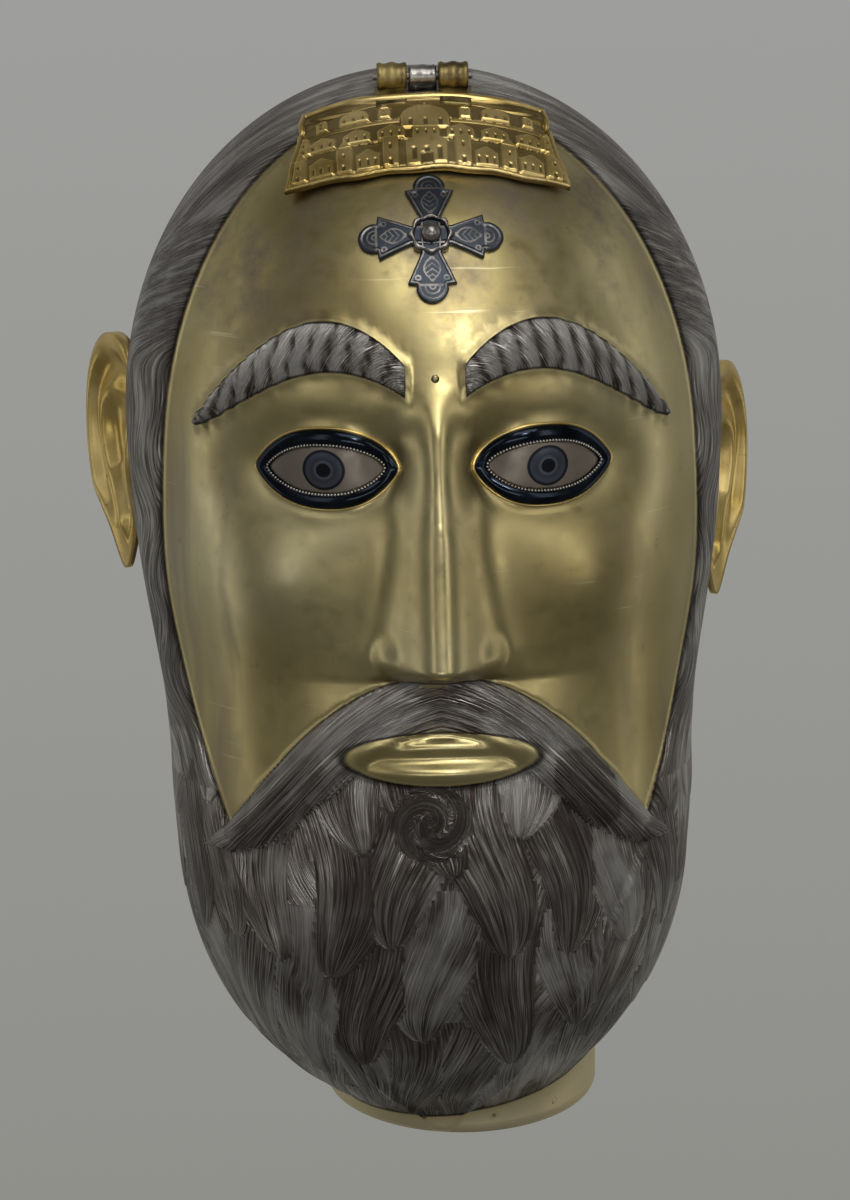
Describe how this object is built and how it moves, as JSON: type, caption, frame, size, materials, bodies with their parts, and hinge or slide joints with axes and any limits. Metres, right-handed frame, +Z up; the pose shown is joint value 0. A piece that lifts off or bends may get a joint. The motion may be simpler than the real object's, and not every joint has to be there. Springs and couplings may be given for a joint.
{
  "type": "head reliquary",
  "caption": "Hollow embossed silver head reliquary, partly gilt, with a beard, inset eyes, cast ears, a forehead cross and a hinged relief lid over the relic opening",
  "frame": {"origin": "middle of the whole bounding box at the neck's rim, where the head stands", "axes": "+Z up from the neck to the crown, the face looks towards -Y, +X is the head's own left"},
  "size_m": [0.1986, 0.216, 0.3036],
  "materials": {
    "gilt_silver": "embossed silver sheet, fire gilt and worn on the face and neck, bare and oxidised dark on hair and beard",
    "bright_gilt": "embossed and cast silver with a richer gilding",
    "silver": "bare silver, tarnished grey",
    "niello": "silver inlaid with black-blue niello, polished"
  },
  "bodies": {
    "head": {"head": "gilt_silver", "hinge_barrel": "silver", "hinge_pin": "silver", "forehead_cross": "niello", "cross_bead": "silver", "right_eye": "silver", "right_eye_rim": "niello", "right_ear": "bright_gilt", "left_eye": "silver", "left_eye_rim": "niello", "left_ear": "bright_gilt"},
    "lid": {"lid": "bright_gilt"}
  },
  "joints": [
    {"name": "lid_hinge", "type": "hinge", "parent": "head", "child": "lid", "pos_m": [0, -0.02815, 0.29968], "axis": [-1, 0, 0], "range_deg": [0, 110]}
  ]
}
